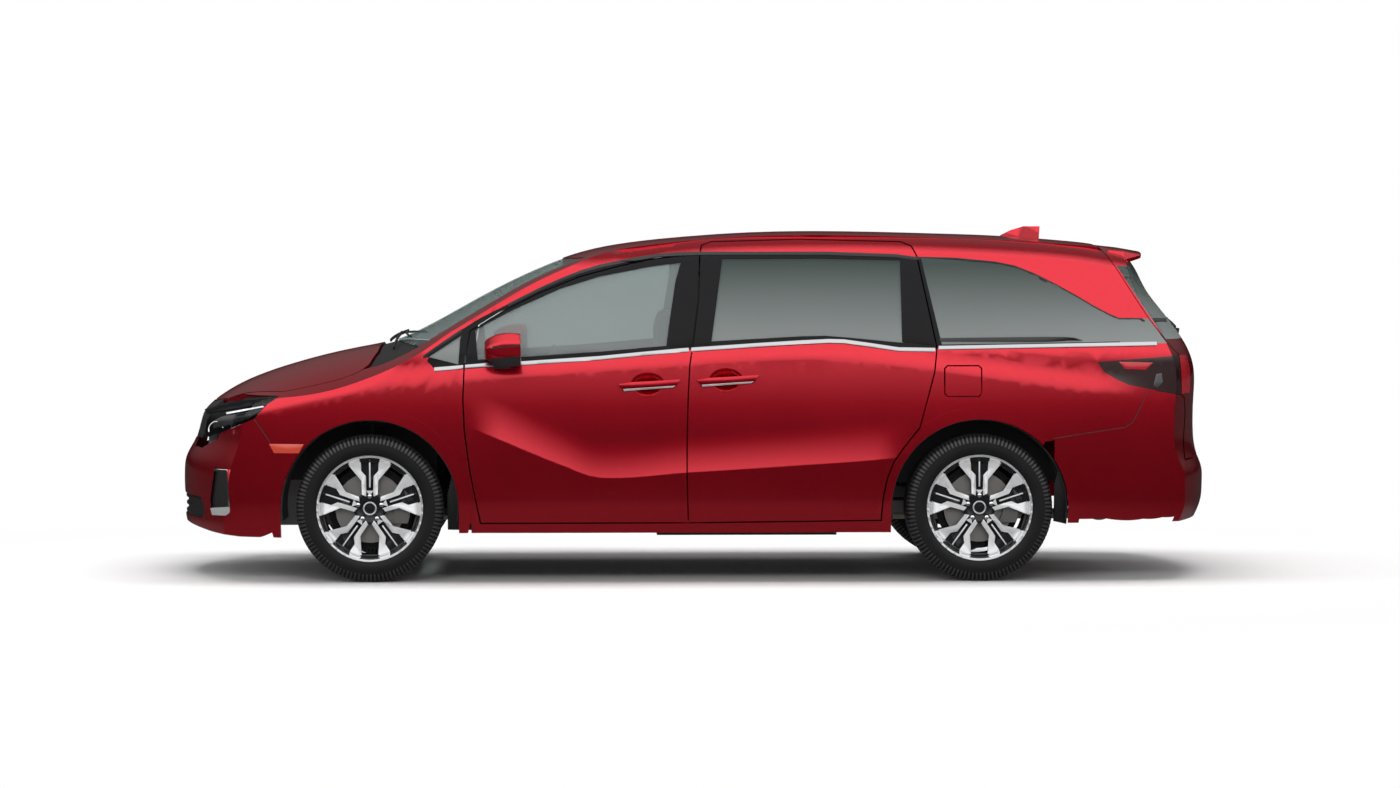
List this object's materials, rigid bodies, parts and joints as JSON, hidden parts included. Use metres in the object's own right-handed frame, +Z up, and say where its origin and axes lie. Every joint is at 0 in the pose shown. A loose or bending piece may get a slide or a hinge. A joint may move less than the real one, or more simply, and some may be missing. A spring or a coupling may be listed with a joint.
{
  "type": "minivan",
  "caption": "Family minivan with swinging front doors, sliding rear side doors, a lifting tailgate, a hood, steered front wheels and a three-row cabin.",
  "frame": {"origin": "centre of the overall bounding box on the ground under the tyres", "axes": "-X forward, -Y to the vehicle's left, +Z up"},
  "size_m": [5.213, 2.4082, 1.7529],
  "materials": {
    "paint": "metallic clear coat",
    "clear_glass": "clear, slightly grey",
    "dark_glass": "dark privacy tint",
    "headlamp_lens": "clear lens over a dark housing",
    "tail_lens": "smoked red lens",
    "black_trim": "satin",
    "tyre": "matt",
    "wheel_alloy": "machined faces, dark recesses",
    "brake_iron": "turned",
    "knuckle_iron": "as cast",
    "dark_steel": "black paint",
    "engine_block": "cast",
    "exhaust_steel": "dull",
    "seat_cloth": "woven",
    "cabin_plastic": "grained"
  },
  "bodies": {
    "body": {"roof": "paint", "body_side_left": "paint", "body_side_right": "paint", "sliding_door_left": "paint", "sliding_door_right": "paint", "sliding_door_handles": "paint", "fenders": "paint", "front_bumper": "paint", "rear_bumper": "paint", "windscreen": "clear_glass", "quarter_glass": "dark_glass", "sliding_door_glass": "dark_glass", "headlamps": "headlamp_lens", "tail_lamps": "tail_lens", "cowl": "black_trim", "grille": "black_trim", "arch_liners": "black_trim", "fuel_tank": "black_trim", "rear_axle": "knuckle_iron", "front_struts": "dark_steel", "front_subframe": "dark_steel", "rear_springs": "dark_steel", "floor": "dark_steel", "engine": "engine_block", "radiator": "engine_block", "exhaust": "exhaust_steel", "front_seats": "seat_cloth", "middle_seats": "seat_cloth", "rear_seat": "seat_cloth", "dashboard": "cabin_plastic", "steering_wheel": "cabin_plastic"},
    "front_door_left_leaf": {"front_door_left": "paint", "front_door_glass_left": "clear_glass", "front_door_handle_left": "paint", "door_mirror_left": "paint"},
    "knuckle_left_hub": {"knuckle_left": "knuckle_iron"},
    "front_door_right_leaf": {"front_door_right": "paint", "front_door_glass_right": "clear_glass", "front_door_handle_right": "paint", "door_mirror_right": "paint"},
    "knuckle_right_hub": {"knuckle_right": "knuckle_iron"},
    "hood_lid": {"hood": "paint"},
    "tailgate_lid": {"tailgate": "paint", "tailgate_glass": "dark_glass", "tailgate_lamps": "tail_lens"},
    "fuel_lid": {"fuel_door": "paint"},
    "wheel_front_left_set": {"wheel_front_left": "wheel_alloy", "tyre_front_left": "tyre", "brake_disc_front_left": "brake_iron"},
    "wheel_front_right_set": {"wheel_front_right": "wheel_alloy", "tyre_front_right": "tyre", "brake_disc_front_right": "brake_iron"},
    "wheel_rear_left_set": {"wheel_rear_left": "wheel_alloy", "tyre_rear_left": "tyre", "brake_disc_rear_left": "brake_iron"},
    "wheel_rear_right_set": {"wheel_rear_right": "wheel_alloy", "tyre_rear_right": "tyre", "brake_disc_rear_right": "brake_iron"}
  },
  "joints": [
    {"name": "steer_left", "type": "hinge", "parent": "body", "child": "knuckle_left_hub", "pos_m": [-1.616, -0.81, 0.212], "axis": [0, 0.2298, 0.9732], "range_deg": [-35, 35]},
    {"name": "spin_front_left", "type": "hinge", "parent": "knuckle_left_hub", "child": "wheel_front_left_set", "pos_m": [-1.616, -0.855, 0.362], "axis": [0, 1, 0], "continuous": true},
    {"name": "spin_rear_left", "type": "hinge", "parent": "body", "child": "wheel_rear_left_set", "pos_m": [1.384, -0.855, 0.362], "axis": [0, 1, 0], "continuous": true},
    {"name": "open_front_door_left", "type": "hinge", "parent": "body", "child": "front_door_left_leaf", "pos_m": [-1.052, -0.975, 0.6], "axis": [0, 0, -1], "range_deg": [0, 68]},
    {"name": "steer_right", "type": "hinge", "parent": "body", "child": "knuckle_right_hub", "pos_m": [-1.616, 0.81, 0.212], "axis": [0, -0.2298, 0.9732], "range_deg": [-35, 35]},
    {"name": "spin_front_right", "type": "hinge", "parent": "knuckle_right_hub", "child": "wheel_front_right_set", "pos_m": [-1.616, 0.855, 0.362], "axis": [0, 1, 0], "continuous": true},
    {"name": "spin_rear_right", "type": "hinge", "parent": "body", "child": "wheel_rear_right_set", "pos_m": [1.384, 0.855, 0.362], "axis": [0, 1, 0], "continuous": true},
    {"name": "open_front_door_right", "type": "hinge", "parent": "body", "child": "front_door_right_leaf", "pos_m": [-1.052, 0.975, 0.6], "axis": [0, 0, 1], "range_deg": [0, 68]},
    {"name": "open_hood", "type": "hinge", "parent": "body", "child": "hood_lid", "pos_m": [-1.6, 0, 1.14481], "axis": [0, 1, 0], "range_deg": [0, 50]},
    {"name": "open_tailgate", "type": "hinge", "parent": "body", "child": "tailgate_lid", "pos_m": [2.06, 0, 1.64226], "axis": [0, -1, 0], "range_deg": [0, 80]},
    {"name": "open_fuel_door", "type": "hinge", "parent": "body", "child": "fuel_lid", "pos_m": [1.24, -0.9772, 0.985], "axis": [0, 0, -1], "range_deg": [0, 85]}
  ],
  "couplings": [
    {"joint": "steer_right", "follows": "steer_left", "ratio": 1}
  ]
}
